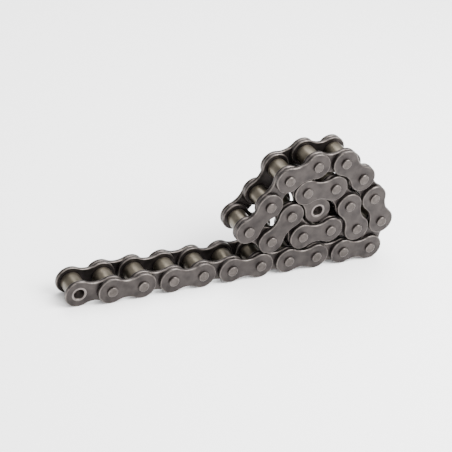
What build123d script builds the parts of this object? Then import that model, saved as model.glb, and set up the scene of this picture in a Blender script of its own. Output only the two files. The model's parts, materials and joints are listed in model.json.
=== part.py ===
"""Roller conveyor chain, laid out in a straight run and rolled back over its own end.

Units are millimetres. The chain lies on its plate edges: +X follows the straight run away from the
open end, +Z is up, and every pin lies along Y. The origin is the centre of the open bush bore at
the chain's first end. Inner (bush) links and outer (pin) links alternate, and both ends are inner.
"""
import math
import os

from build123d import *

# Chain sizes
pitch = 25.4
pin_diameter = 8.28
bush_wall = 1.75
roller_wall = 1.92
inner_width = 15.8
plate_thickness = 3.2
pin_stand_out = 1.75

# Plate outline, as shares of the pitch (full height) and of the plate's own height (waist)
inner_height_share = 0.882
outer_height_share = 0.866
inner_waist_share = 0.723
outer_waist_share = 0.709

# Edges
pin_chamfer = 0.7
roller_chamfer = 0.6

# Clearances
pin_running_gap = 0.05
roller_running_gap = 0.08
roller_side_gap = 0.15
plate_side_gap = 0.15
press_gap = 0.01

# How the chain lies: the bend at each pin in degrees, anticlockwise seen from the front
flat_pins = 9
arch_bends = (77, 39, 10, 13, 40, 22, 38, -8)
nest_bends = (99, 85, -112, 62, -11, 122, 16, 48, 126)

# Sizes that follow
inner_plate_height = inner_height_share * pitch
outer_plate_height = outer_height_share * pitch
pin_radius = pin_diameter / 2
bush_bore_radius = pin_radius + pin_running_gap
bush_radius = bush_bore_radius + bush_wall
roller_bore_radius = bush_radius + roller_running_gap
roller_radius = roller_bore_radius + roller_wall
roller_length = inner_width - 2 * roller_side_gap
inner_plate_face = inner_width / 2
inner_plate_back = inner_plate_face + plate_thickness
outer_plate_face = inner_plate_back + plate_side_gap
outer_plate_back = outer_plate_face + plate_thickness
pin_end = outer_plate_back + pin_stand_out

bends = [0] * (flat_pins + 1) + list(arch_bends) + list(nest_bends)


def chain_lay():
    """Return the chain's link headings in degrees and its joint centres as (x, z)."""
    headings = []
    joints = [(0.0, 0.0)]
    heading = 0
    for bend in bends:
        heading += bend
        headings.append(heading)
        x, z = joints[-1]
        turned = math.radians(heading)
        joints.append((x + pitch * math.cos(turned), z + pitch * math.sin(turned)))
    return headings, joints


def link_plane(index, offset):
    """Plane across the chain on a link's first joint, x along the link, at y = offset."""
    x, z = joints[index]
    turned = math.radians(headings[index])
    return Plane(origin=(x, offset, z), x_dir=(math.cos(turned), 0, math.sin(turned)), z_dir=(0, -1, 0))


def plate_outline(height, waist):
    """Draw a waisted link plate: two round ends joined by two hollow arcs, all tangent."""
    end = height / 2
    neck = waist / 2
    half = pitch / 2
    # The hollow arc's centre stands over the middle of the link and its circle touches both ends.
    hollow = (half**2 + neck**2 - end**2) / (2 * (end - neck))
    reach = end / (end + hollow)
    touch_x = half * reach
    touch_y = (neck + hollow) * reach
    with BuildLine() as outline:
        ThreePointArc((touch_x, touch_y), (-end, 0), (touch_x, -touch_y))
        ThreePointArc((touch_x, -touch_y), (half, -neck), (pitch - touch_x, -touch_y))
        ThreePointArc((pitch - touch_x, -touch_y), (pitch + end, 0), (pitch - touch_x, touch_y))
        ThreePointArc((pitch - touch_x, touch_y), (half, neck), (touch_x, touch_y))
    make_face(outline.edges())


def build_inner_link(index):
    """Two waisted plates with two bushes pressed through them."""
    with BuildPart() as inner_link:
        for face in (inner_plate_face, -inner_plate_back):
            with BuildSketch(link_plane(index, face)):
                plate_outline(inner_plate_height, inner_plate_height * inner_waist_share)
                with Locations((0, 0), (pitch, 0)):
                    Circle(bush_radius + press_gap, mode=Mode.SUBTRACT)
            extrude(amount=-plate_thickness)
        with BuildSketch(link_plane(index, 0)):
            with Locations((0, 0), (pitch, 0)):
                Circle(bush_radius)
                Circle(bush_bore_radius, mode=Mode.SUBTRACT)
        extrude(amount=inner_plate_back, both=True)
    return inner_link


def build_outer_link(index):
    """Two waisted plates with two solid pins pressed through them."""
    with BuildPart() as outer_link:
        for face in (outer_plate_face, -outer_plate_back):
            with BuildSketch(link_plane(index, face)):
                plate_outline(outer_plate_height, outer_plate_height * outer_waist_share)
                with Locations((0, 0), (pitch, 0)):
                    Circle(pin_radius + press_gap, mode=Mode.SUBTRACT)
            extrude(amount=-plate_thickness)
        with BuildSketch(link_plane(index, 0)):
            with Locations((0, 0), (pitch, 0)):
                Circle(pin_radius)
        extrude(amount=pin_end, both=True)
        ends = outer_link.faces().filter_by(Axis.Y).group_by(Axis.Y)
        chamfer((ends[0] + ends[-1]).edges(), length=pin_chamfer)
    return outer_link


def build_roller(index):
    """Roller that turns freely on the bush at a joint, between the inner plates."""
    x, z = joints[index]
    with BuildPart() as roller:
        with BuildSketch(Plane(origin=(x, 0, z), x_dir=(1, 0, 0), z_dir=(0, -1, 0))):
            Circle(roller_radius)
            Circle(roller_bore_radius, mode=Mode.SUBTRACT)
        extrude(amount=roller_length / 2, both=True)
        rims = roller.edges().filter_by(GeomType.CIRCLE).group_by(SortBy.RADIUS)[-1]
        chamfer(rims, length=roller_chamfer)
    return roller


headings, joints = chain_lay()
os.makedirs("parts", exist_ok=True)

for index in range(len(bends)):
    if index % 2 == 0:
        link = build_inner_link(index)
        link.part.label = f"inner_link_{index // 2 + 1:02d}"
    else:
        link = build_outer_link(index)
        link.part.label = f"outer_link_{index // 2 + 1:02d}"
    export_step(link.part, f"parts/{link.part.label}.step")

for index in range(len(joints)):
    roller = build_roller(index)
    roller.part.label = f"roller_{index + 1:02d}"
    export_step(roller.part, f"parts/{roller.part.label}.step")
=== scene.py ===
"""Roller conveyor chain: finely rounded links, pins, bushes and rollers in oil-blackened steel.

Every length named *_mm is in millimetres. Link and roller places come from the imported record.
"""
import json
import logging
import math
from dataclasses import dataclass, field
from enum import Enum, IntEnum

import bpy
import numpy as np
from mathutils import Matrix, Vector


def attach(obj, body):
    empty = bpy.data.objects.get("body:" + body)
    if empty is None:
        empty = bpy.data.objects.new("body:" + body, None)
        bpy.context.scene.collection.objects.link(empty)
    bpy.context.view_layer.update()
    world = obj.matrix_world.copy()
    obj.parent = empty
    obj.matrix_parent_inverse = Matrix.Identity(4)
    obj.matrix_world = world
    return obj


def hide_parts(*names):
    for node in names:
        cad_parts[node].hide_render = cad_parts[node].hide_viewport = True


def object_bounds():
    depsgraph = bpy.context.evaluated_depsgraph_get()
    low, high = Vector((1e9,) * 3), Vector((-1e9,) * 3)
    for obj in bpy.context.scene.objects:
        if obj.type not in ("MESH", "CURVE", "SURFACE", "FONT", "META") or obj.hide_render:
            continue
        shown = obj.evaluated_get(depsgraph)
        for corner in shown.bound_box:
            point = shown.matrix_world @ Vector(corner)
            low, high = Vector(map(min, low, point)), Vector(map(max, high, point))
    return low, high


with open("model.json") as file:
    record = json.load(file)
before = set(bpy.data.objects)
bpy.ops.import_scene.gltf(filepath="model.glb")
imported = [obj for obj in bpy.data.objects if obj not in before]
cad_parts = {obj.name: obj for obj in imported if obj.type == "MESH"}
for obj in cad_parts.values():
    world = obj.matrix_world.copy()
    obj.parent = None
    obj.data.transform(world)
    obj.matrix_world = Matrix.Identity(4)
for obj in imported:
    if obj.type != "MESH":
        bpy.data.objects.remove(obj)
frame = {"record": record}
CAD_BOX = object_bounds()
LOG = logging.getLogger("chain")
MM = 0.001
MERGE_STEPS_PER_METRE = 1e7


class Slot(IntEnum):
    """A piece's material slots."""

    BODY = 0
    CORE = 1
    # Rounded rims of plates, pins and bushes; in links this slot takes the lighter finish that
    # paints a highlight on them.
    EDGE = 2


class LinkKind(Enum):
    """The two kinds of link, which take turns along the chain."""

    INNER = "inner"
    OUTER = "outer"


def linear_colour(code: str) -> tuple[float, float, float, float]:
    """Turn an sRGB hex code into linear RGBA.

    Args:
        code: six hex digits.

    Returns:
        Linear red, green, blue and an alpha of one.
    """
    channels = [int(code[i : i + 2], 16) / 255 for i in (0, 2, 4)]
    linear = [c / 12.92 if c <= 0.04045 else ((c + 0.055) / 1.055) ** 2.4 for c in channels]
    return (*linear, 1.0)


def add_node(tree: bpy.types.NodeTree, kind: str, **values: object) -> bpy.types.Node:
    """Add a shader node and set its inputs.

    Args:
        tree: node tree that takes the node.
        kind: Blender's node type.
        **values: input name, with spaces as underscores, to a constant or an output socket.

    Returns:
        The new node.
    """
    node = tree.nodes.new(kind)
    for name, value in values.items():
        socket = node.inputs[name.replace("_", " ")]
        if isinstance(value, bpy.types.NodeSocket):
            tree.links.new(value, socket)
        else:
            socket.default_value = value
    return node


@dataclass(frozen=True)
class SteelFinish:
    """Steel with a chemical surface, or a lighter one that paints highlights on rounded rims,
    mottled by noise on object coordinates.

    Fields: name, dark and light colours of the mottle, metal share, roughness and how much it
    varies, the mottle's size, the grain's size and height, and where in the noise the dark and the
    light colour begin.
    """

    name: str
    dark: str
    light: str
    metallic: float
    roughness: float
    roughness_swing: float
    mottle_mm: float
    grain_mm: float
    grain_height_mm: float
    dark_from: float = 0.32
    light_from: float = 0.72

    def material(self) -> bpy.types.Material:
        """Build the finish as a node material.

        Returns:
            The new material.
        """
        made = bpy.data.materials.new(self.name)
        made.use_nodes = True
        tree = made.node_tree
        tree.nodes.clear()
        place = add_node(tree, "ShaderNodeTexCoord").outputs["Object"]
        mottle = add_node(
            tree, "ShaderNodeTexNoise", Vector=place, Scale=1 / (self.mottle_mm * MM), Detail=4.0
        )
        grain = add_node(
            tree, "ShaderNodeTexNoise", Vector=place, Scale=1 / (self.grain_mm * MM), Detail=2.0
        )
        ramp = add_node(tree, "ShaderNodeValToRGB", Fac=mottle.outputs["Fac"])
        ramp.color_ramp.elements[0].position = self.dark_from
        ramp.color_ramp.elements[0].color = linear_colour(self.dark)
        ramp.color_ramp.elements[1].position = self.light_from
        ramp.color_ramp.elements[1].color = linear_colour(self.light)
        rough = add_node(tree, "ShaderNodeMapRange", Value=mottle.outputs["Fac"])
        rough.inputs["To Min"].default_value = self.roughness - self.roughness_swing
        rough.inputs["To Max"].default_value = self.roughness + self.roughness_swing
        bump = add_node(
            tree,
            "ShaderNodeBump",
            Height=grain.outputs["Fac"],
            Distance=self.grain_height_mm * MM,
            Strength=1.0,
        )
        shader = add_node(
            tree,
            "ShaderNodeBsdfPrincipled",
            Base_Color=ramp.outputs["Color"],
            Metallic=self.metallic,
            Roughness=rough.outputs["Result"],
            Normal=bump.outputs["Normal"],
        )
        add_node(tree, "ShaderNodeOutputMaterial", Surface=shader.outputs["BSDF"])
        return made


BLACKENED_PLATE = SteelFinish(
    "oil_blackened_plate", "231f1e", "3c3735", 0.8, 0.38, 0.08, 8.0, 0.5, 0.016
)
# Painted highlight: a lighter finish on every rounded rim of plates, pins and bushes, standing in
# for the light that the edges catch.
PAINTED_EDGE_HIGHLIGHT = SteelFinish("painted_edge_highlight", "3d3836", "655f5b", 0.85, 0.34, 0.06, 4.0, 0.4, 0.01)
HARDENED_BUSH = SteelFinish("hardened_bush", "57514e", "6f6966", 0.85, 0.32, 0.05, 5.0, 0.4, 0.008)
TURNED_PIN = SteelFinish("turned_pin", "37322f", "4c4643", 0.8, 0.36, 0.06, 3.0, 0.4, 0.014)
HARDENED_ROLLER = SteelFinish(
    "hardened_roller", "4f4a3f", "686156", 0.85, 0.34, 0.06, 7.0, 0.45, 0.012
)


@dataclass
class Surface:
    """A mesh under construction: points, faces, and each face's material slot and smoothness."""

    points: list[np.ndarray] = field(default_factory=list)
    faces: list[tuple[int, ...]] = field(default_factory=list)
    slots: list[int] = field(default_factory=list)
    smooth: list[bool] = field(default_factory=list)

    def count(self) -> int:
        """Return the number of points so far."""
        return sum(len(p) for p in self.points)

    def add_grid(self, grid: np.ndarray, closed: bool, slot: int, smooth: bool, flip: bool) -> None:
        """Join neighbouring rows of points with quads.

        Args:
            grid: rows by columns by three coordinates.
            closed: whether the last column joins the first.
            slot: material slot of the faces.
            smooth: whether the faces shade smoothly.
            flip: whether the faces' winding is turned round.
        """
        start = self.count()
        rows, columns = grid.shape[:2]
        self.points.append(grid.reshape(-1, 3))
        for row in range(rows - 1):
            for column in range(columns if closed else columns - 1):
                after = (column + 1) % columns
                low = start + row * columns
                quad = (low + column, low + after, low + columns + after, low + columns + column)
                self.faces.append(quad[::-1] if flip else quad)
                self.slots.append(slot)
                self.smooth.append(smooth)

    def piece(self, name: str, finishes: list[bpy.types.Material]) -> bpy.types.Object:
        """Merge coincident points, write the mesh and put it in the scene.

        Args:
            name: the piece's name.
            finishes: materials, one per slot.

        Returns:
            The new object, at the origin and unturned.
        """
        points = np.concatenate(self.points)
        rounded = np.round(points * MERGE_STEPS_PER_METRE).astype(np.int64)
        _, first, where = np.unique(rounded, axis=0, return_index=True, return_inverse=True)
        where = where.reshape(-1)
        faces, slots, smooth = [], [], []
        for face, slot, soft in zip(self.faces, self.slots, self.smooth):
            merged = list(dict.fromkeys(int(where[i]) for i in face))
            if len(merged) > 2:
                faces.append(merged)
                slots.append(slot)
                smooth.append(soft)
        mesh = bpy.data.meshes.new(name)
        mesh.from_pydata(points[first].tolist(), [], faces)
        mesh.polygons.foreach_set("material_index", slots)
        mesh.polygons.foreach_set("use_smooth", smooth)
        mesh.validate()
        mesh.update()
        for finish in finishes:
            mesh.materials.append(finish)
        made = bpy.data.objects.new(name, mesh)
        bpy.context.scene.collection.objects.link(made)
        return made


@dataclass
class Placement:
    """Where a piece stands: a joint centre in metres and the link's heading in radians."""

    x: float
    z: float
    heading: float = 0.0

    def put(self, along: np.ndarray, across: np.ndarray, up: np.ndarray) -> np.ndarray:
        """Turn link coordinates in millimetres into scene coordinates in metres.

        Args:
            along: distance along the link.
            across: distance along the pins.
            up: distance at right angles to both.

        Returns:
            An array of points, with x, y, z in its last axis.
        """
        cos, sin = math.cos(self.heading), math.sin(self.heading)
        along, across, up = np.broadcast_arrays(along, across, up)
        return np.stack(
            [
                self.x + (along * cos - up * sin) * MM,
                across * MM,
                self.z + (along * sin + up * cos) * MM,
            ],
            axis=-1,
        )


def revolve(
    surface: Surface,
    place: Placement,
    centre_mm: float,
    profile: np.ndarray,
    slot: int,
    rim_slot: int,
    sides: int,
) -> None:
    """Turn a profile about a joint's axis.

    The surface is x = c + r cos t, z = r sin t at each profile point (r, y), for t round the circle.

    Args:
        surface: mesh that takes the faces.
        place: frame of the link.
        centre_mm: distance of the axis along the link.
        profile: rows of radius, y and a flag that is one where the band after it shades smoothly.
        slot: material slot of walls and flat ends.
        rim_slot: material slot of bands between a wall and an end; in links it takes the painted
            highlight finish.
        sides: number of facets round the circle.
    """
    turn = np.linspace(0, 2 * math.pi, sides, endpoint=False)
    for low, high in zip(profile[:-1], profile[1:]):
        radii = np.array([low[0], high[0]])[:, None]
        grid = place.put(
            centre_mm + radii * np.cos(turn)[None],
            np.array([low[1], high[1]])[:, None],
            radii * np.sin(turn)[None],
        )
        is_rim = not np.isclose(low[0], high[0]) and not np.isclose(low[1], high[1])
        surface.add_grid(grid, True, rim_slot if is_rim else slot, bool(low[2]), False)


@dataclass
class LinkPlate:
    """A waisted link plate with rounded edges and two round holes."""

    pitch_mm: float
    height_mm: float
    waist_mm: float
    thickness_mm: float
    hole_mm: float
    edge_mm: float = 0.85
    end_steps: int = 66
    waist_steps: int = 14
    edge_steps: int = 4

    def outline(self) -> tuple[np.ndarray, np.ndarray, np.ndarray, np.ndarray]:
        """Work out half the outline, from the waist below, round the end, to the waist above.

        The end is a circle of half the height about the joint. The waist is a circle of radius
        (half pitch squared + neck squared - end squared) / 2 (end - neck), tangent to it.

        Returns:
            Along and up of each point, and the outward normal's along and up.
        """
        end, neck, half = self.height_mm / 2, self.waist_mm / 2, self.pitch_mm / 2
        hollow = (half**2 + neck**2 - end**2) / (2 * (end - neck))
        touch = math.atan2(neck + hollow, half)
        round_turn = np.linspace(touch, 2 * math.pi - touch, self.end_steps)
        hollow_turn = np.linspace(-math.pi / 2, touch - math.pi, self.waist_steps)[:-1]
        upper_x = half + hollow * np.cos(hollow_turn)
        upper_z = neck + hollow + hollow * np.sin(hollow_turn)
        x = np.concatenate([upper_x, end * np.cos(round_turn), upper_x[::-1]])
        z = np.concatenate([upper_z, end * np.sin(round_turn), -upper_z[::-1]])
        nx = np.concatenate(
            [-np.cos(hollow_turn), np.cos(round_turn), -np.cos(hollow_turn)[::-1]]
        )
        nz = np.concatenate([-np.sin(hollow_turn), np.sin(round_turn), np.sin(hollow_turn)[::-1]])
        return x, z, nx, nz

    def build(self, surface: Surface, place: Placement, face_mm: float) -> None:
        """Add the plate to a mesh.

        The rounded edge is p - e (1 - cos t) n, at a depth of e (1 - sin t) under the face, for the
        outline's point p and normal n, the edge radius e and t from zero to a right angle. Each
        flat face is ruled from the hole's circle to the outline along rays from the hole's centre,
        as far as the cut across the plate's middle, and then mirrored.

        Args:
            surface: mesh that takes the faces.
            place: frame of the link.
            face_mm: y of the plate's lower face.
        """
        x, z, nx, nz = self.outline()
        half = self.pitch_mm / 2
        low, high = face_mm, face_mm + self.thickness_mm
        turn = np.linspace(0, math.pi / 2, self.edge_steps + 1)
        inset = self.edge_mm * (1 - np.cos(turn))
        sink = self.edge_mm * (1 - np.sin(turn))
        levels = np.concatenate([low + sink[::-1], high - sink])
        insets = np.concatenate([inset[::-1], inset])
        rim_x = x[None] - insets[:, None] * nx[None]
        rim_z = z[None] - insets[:, None] * nz[None]
        rim_y = np.broadcast_to(levels[:, None], rim_x.shape)
        neck = z[0] - self.edge_mm
        cut = np.linspace(-neck, neck, self.waist_steps)[1:-1]
        flat_x = np.concatenate([rim_x[0], np.full(len(cut), half)])
        flat_z = np.concatenate([rim_z[0], cut])
        bearing = np.arctan2(flat_z, flat_x)
        ring_x = self.hole_mm * np.cos(bearing)
        ring_z = self.hole_mm * np.sin(bearing)
        for mirrored in (False, True):
            side = (lambda u: self.pitch_mm - u) if mirrored else (lambda u: u)
            rim = place.put(side(rim_x), rim_y, rim_z)
            wall_row = self.edge_steps
            # The rounded edge bands take the EDGE slot, which holds the painted highlight finish.
            surface.add_grid(rim[: wall_row + 1], False, Slot.EDGE, True, mirrored)
            surface.add_grid(rim[wall_row : wall_row + 2], False, Slot.BODY, True, mirrored)
            surface.add_grid(rim[wall_row + 1 :], False, Slot.EDGE, True, mirrored)
            for level, under in ((low, True), (high, False)):
                grid = place.put(
                    np.stack([side(ring_x), side(flat_x)]),
                    np.full((2, len(flat_x)), level),
                    np.stack([ring_z, flat_z]),
                )
                surface.add_grid(grid, True, Slot.BODY, False, under == mirrored)
            wall = place.put(
                np.stack([side(ring_x)] * 2),
                np.array([[low], [high]]),
                np.stack([ring_z] * 2),
            )
            surface.add_grid(wall, True, Slot.BODY, True, not mirrored)


@dataclass
class ChainSizes:
    """The chain's sizes in millimetres."""

    pitch_mm: float = 25.4
    roller_mm: float = 15.88
    pin_mm: float = 8.28
    bush_wall_mm: float = 1.75
    inner_width_mm: float = 15.8
    thickness_mm: float = 3.2
    pin_stand_out_mm: float = 1.75
    side_gap_mm: float = 0.15
    inner_height_mm: float = 22.4
    inner_waist_mm: float = 16.2
    outer_height_mm: float = 22.0
    outer_waist_mm: float = 15.6
    pin_gap_mm: float = 0.05
    roller_gap_mm: float = 0.08
    pin_rim_mm: float = 0.75
    roller_rim_mm: float = 0.8
    bush_mouth_mm: float = 0.3
    bush_corner_mm: float = 0.1

    @property
    def bore_mm(self) -> float:
        """Radius of a bush's bore."""
        return self.pin_mm / 2 + self.pin_gap_mm

    @property
    def bush_mm(self) -> float:
        """Outer radius of a bush."""
        return self.bore_mm + self.bush_wall_mm

    @property
    def inner_back_mm(self) -> float:
        """Distance of an inner plate's outer face from the chain's middle."""
        return self.inner_width_mm / 2 + self.thickness_mm

    @property
    def outer_face_mm(self) -> float:
        """Distance of an outer plate's inner face from the chain's middle."""
        return self.inner_back_mm + self.side_gap_mm

    @property
    def pin_end_mm(self) -> float:
        """Distance of a pin's end from the chain's middle."""
        return self.outer_face_mm + self.thickness_mm + self.pin_stand_out_mm


def rounded_rim(radius: float, reach: float, rim: float, steps: int = 5) -> np.ndarray:
    """Profile of a rounded rim, from the flat end to the wall.

    Args:
        radius: radius of the wall.
        reach: y of the flat end.
        rim: radius of the rounding.
        steps: bands round the rim.

    Returns:
        Rows of radius, y and smoothness.
    """
    turn = np.linspace(math.pi / 2, 0, steps + 1)
    r = radius - rim + rim * np.cos(turn)
    y = reach - rim + rim * np.sin(turn)
    return np.stack([r, y, np.ones_like(r)], axis=-1)


def both_ends(half: np.ndarray) -> np.ndarray:
    """Join a profile of one end to its mirror image at the other end.

    Args:
        half: rows of radius, y and smoothness, from the end's centre outwards.

    Returns:
        The whole profile.
    """
    other = half[::-1].copy()
    other[:, 1] *= -1
    other[:-1, 2] = half[::-1][1:, 2]
    return np.concatenate([half, other])


@dataclass
class Chain:
    """The whole chain: links, rollers and their places."""

    sizes: ChainSizes
    joints: list[tuple[float, float]]
    pin_sides: int = 56
    roller_sides: int = 72

    @classmethod
    def from_record(cls, record: dict, sizes: ChainSizes) -> "Chain":
        """Read the joint centres from the rollers' spin joints.

        Args:
            record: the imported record.
            sizes: the chain's sizes.

        Returns:
            The chain.
        """
        spins = [j for j in record["behaviour"]["joints"] if j["name"].startswith("roller_")]
        spins.sort(key=lambda joint: joint["name"])
        return cls(sizes, [(j["pos_m"][0], j["pos_m"][2]) for j in spins])

    def place(self, index: int) -> Placement:
        """Return the frame of a link, counted from zero."""
        (x, z), (next_x, next_z) = self.joints[index], self.joints[index + 1]
        return Placement(x, z, math.atan2(next_z - z, next_x - x))

    def bush_profile(self) -> np.ndarray:
        """Return the closed section of a bush, with a small chamfer at each mouth."""
        s = self.sizes
        mouth, corner = s.bush_mouth_mm, s.bush_corner_mm
        end = s.inner_back_mm
        wall = s.bush_mm
        section = [
            (s.bore_mm, -end + mouth, 0),
            (s.bore_mm + mouth, -end, 0),
            (wall - corner, -end, 0),
            (wall, -end + corner, 1),
            (wall, end - corner, 0),
            (wall - corner, end, 0),
            (s.bore_mm + mouth, end, 0),
            (s.bore_mm, end - mouth, 1),
            (s.bore_mm, -end + mouth, 0),
        ]
        return np.array(section, dtype=float)[::-1]

    def pin_profile(self) -> np.ndarray:
        """Return a solid pin's profile, with a flat face and a rounded rim at each end."""
        s = self.sizes
        rim = rounded_rim(s.pin_mm / 2, s.pin_end_mm, s.pin_rim_mm)
        centre = np.array([[0.0, s.pin_end_mm, 0.0]])
        return both_ends(np.concatenate([centre, rim]))

    def roller_profile(self) -> np.ndarray:
        """Return the closed section of a roller with rounded outer rims."""
        s = self.sizes
        reach = s.inner_width_mm / 2 - s.side_gap_mm
        bore = s.bush_mm + s.roller_gap_mm
        rim = rounded_rim(s.roller_mm / 2, reach, s.roller_rim_mm)
        mouth = np.array([[bore, reach, 0.0]])
        profile = both_ends(np.concatenate([mouth, rim]))
        profile[-1, 2] = 1.0
        return np.concatenate([profile, mouth])

    def build_link(self, index: int, kind: LinkKind, finishes: list[bpy.types.Material]) -> None:
        """Build one link and let it stand for the CAD's.

        Args:
            index: link number from zero.
            kind: inner or outer.
            finishes: plate finish, then bush or pin finish, then the rims' finish, a painted
                highlight.
        """
        s = self.sizes
        surface = Surface()
        place = self.place(index)
        if kind is LinkKind.INNER:
            plate = LinkPlate(
                s.pitch_mm, s.inner_height_mm, s.inner_waist_mm, s.thickness_mm, s.bush_mm
            )
            face, profile = s.inner_width_mm / 2, self.bush_profile()
        else:
            plate = LinkPlate(
                s.pitch_mm, s.outer_height_mm, s.outer_waist_mm, s.thickness_mm, s.pin_mm / 2
            )
            face, profile = s.outer_face_mm, self.pin_profile()
        for low in (face, -face - s.thickness_mm):
            plate.build(surface, place, low)
        for centre in (0.0, s.pitch_mm):
            # The pins' and bushes' rims take the EDGE slot too, so the painted highlight falls on
            # them.
            revolve(surface, place, centre, profile, Slot.CORE, Slot.EDGE, self.pin_sides)
        name = f"{kind.value}_link_{index // 2 + 1:02d}"
        made = surface.piece(f"{name}_fine", finishes)
        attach(made, f"link_{index + 1:02d}")
        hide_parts(name)
        LOG.info("%s: %d faces", made.name, len(made.data.polygons))

    def build_roller(self, index: int, finish: bpy.types.Material) -> None:
        """Build one roller and let it stand for the CAD's.

        Args:
            index: joint number from zero.
            finish: the roller's finish.
        """
        surface = Surface()
        place = Placement(*self.joints[index])
        profile = self.roller_profile()
        revolve(surface, place, 0.0, profile, Slot.BODY, Slot.BODY, self.roller_sides)
        name = f"roller_{index + 1:02d}"
        made = surface.piece(f"{name}_fine", [finish])
        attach(made, f"spinning_{name}")
        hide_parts(name)
        LOG.info("%s: %d faces", made.name, len(made.data.polygons))

    def build(self) -> None:
        """Build every link and roller."""
        plate, bush = BLACKENED_PLATE.material(), HARDENED_BUSH.material()
        pin, roller = TURNED_PIN.material(), HARDENED_ROLLER.material()
        # Lighter finish for all rounded rims: a painted highlight where the edges catch the light.
        edge = PAINTED_EDGE_HIGHLIGHT.material()
        for index in range(len(self.joints) - 1):
            if index % 2 == 0:
                self.build_link(index, LinkKind.INNER, [plate, bush, edge])
            else:
                self.build_link(index, LinkKind.OUTER, [plate, pin, edge])
        for index in range(len(self.joints)):
            self.build_roller(index, roller)


@dataclass(frozen=True)
class Lamp:
    """A square area lamp that looks at the chain's middle.

    Fields: name, side in metres, watts, degrees from -Y anticlockwise from above, degrees over the
    floor, and distance in metres.
    """

    name: str
    size: float
    power: float
    azimuth: float
    elevation: float
    away: float

    def hang(self, middle: tuple[float, float, float]) -> None:
        """Put the lamp in the scene.

        Args:
            middle: the point that it looks at.
        """
        data = bpy.data.lights.new(self.name, "AREA")
        data.size = self.size
        data.energy = self.power
        turn, rise = math.radians(self.azimuth), math.radians(self.elevation)
        out = np.array(
            [math.sin(turn) * math.cos(rise), -math.cos(turn) * math.cos(rise), math.sin(rise)]
        )
        lamp = bpy.data.objects.new(self.name, data)
        lamp.location = np.array(middle) + out * self.away
        lamp.rotation_euler = (math.pi / 2 - rise, 0, turn)
        bpy.context.scene.collection.objects.link(lamp)


SOFT_LIGHTS = (
    Lamp("key", 0.9, 56.0, 52.0, 48.0, 1.3),
    Lamp("top", 1.2, 34.0, 160.0, 68.0, 1.4),
    Lamp("fill", 0.9, 14.0, -14.0, 24.0, 1.6),
)


@dataclass(frozen=True)
class Viewpoint:
    """The camera's place and lens, with lengths in pitches of the chain.

    Fields: azimuth, elevation and roll in degrees, distance from the target, the target's x, y and
    z, the lens in millimetres, and the nearest distance that shows, in metres.
    """

    azimuth: float = -31.2
    elevation: float = 31.8
    roll: float = 8.8
    away: float = 42.65
    target: tuple[float, float, float] = (4.49, -0.626, 1.766)
    lens_mm: float = 113.5
    clip_start: float = 0.05

    def place(self, pitch_m: float) -> Matrix:
        """Work out the camera's place and turn.

        Args:
            pitch_m: the chain's pitch in metres.

        Returns:
            The camera's world matrix.
        """
        azimuth, elevation, roll = (
            math.radians(angle) for angle in (self.azimuth, self.elevation, self.roll)
        )
        forward = np.array(
            [
                -math.sin(azimuth) * math.cos(elevation),
                math.cos(azimuth) * math.cos(elevation),
                -math.sin(elevation),
            ]
        )
        right = np.cross(forward, [0, 0, 1])
        right /= np.linalg.norm(right)
        up = np.cross(right, forward)
        place = np.eye(4)
        place[:3, 0] = right * math.cos(roll) + up * math.sin(roll)
        place[:3, 1] = -right * math.sin(roll) + up * math.cos(roll)
        place[:3, 2] = -forward
        place[:3, 3] = np.array([part * pitch_m for part in self.target]) - forward * (
            self.away * pitch_m
        )
        return Matrix(place.tolist())


@dataclass
class Studio:
    """Pale floor, soft lights and the camera."""

    pitch_m: float
    floor_z: float
    middle: tuple[float, float, float]
    floor_half_side: float = 4.0
    floor_roughness: float = 0.9
    sky_strength: float = 0.9

    def floor(self) -> None:
        """Lay a plain pale floor under the chain."""
        mesh = bpy.data.meshes.new("floor")
        x, y, _ = self.middle
        half = self.floor_half_side
        turns = ((-1, -1), (1, -1), (1, 1), (-1, 1))
        corners = [(x + i * half, y + j * half, self.floor_z) for i, j in turns]
        mesh.from_pydata(corners, [], [(0, 1, 2, 3)])
        paper = bpy.data.materials.new("white_paper")
        paper.use_nodes = True
        shader = paper.node_tree.nodes["Principled BSDF"]
        shader.inputs["Base Color"].default_value = linear_colour("ffffff")
        shader.inputs["Roughness"].default_value = self.floor_roughness
        mesh.materials.append(paper)
        sheet = bpy.data.objects.new("floor", mesh)
        bpy.context.scene.collection.objects.link(sheet)

    def lights(self) -> None:
        """Set the soft key from the front right, a light from behind, a weak fill and a pale sky."""
        for lamp in SOFT_LIGHTS:
            lamp.hang(self.middle)
        world = bpy.data.worlds.new("sky")
        world.use_nodes = True
        sky = world.node_tree.nodes["Background"]
        sky.inputs["Color"].default_value = (1, 1, 1, 1)
        sky.inputs["Strength"].default_value = self.sky_strength
        bpy.context.scene.world = world

    def camera(self) -> None:
        """Set the camera: from the front left and above, with a long lens and a small roll."""
        viewpoint = Viewpoint()
        data = bpy.data.cameras.new("camera")
        data.lens = viewpoint.lens_mm
        data.clip_start = viewpoint.clip_start
        camera = bpy.data.objects.new("camera", data)
        camera.matrix_world = viewpoint.place(self.pitch_m)
        bpy.context.scene.collection.objects.link(camera)
        bpy.context.scene.camera = camera


def main() -> None:
    """Build the chain and its studio, and report each piece."""
    logging.basicConfig(level=logging.INFO, format="%(name)s %(message)s")
    sizes = ChainSizes()
    chain = Chain.from_record(frame["record"], sizes)
    chain.build()
    low, high = (np.array(corner) for corner in CAD_BOX)
    studio = Studio(sizes.pitch_mm * MM, float(low[2]), tuple((low + high) / 2))
    studio.floor()
    studio.lights()
    studio.camera()


if __name__ == "__main__":
    main()
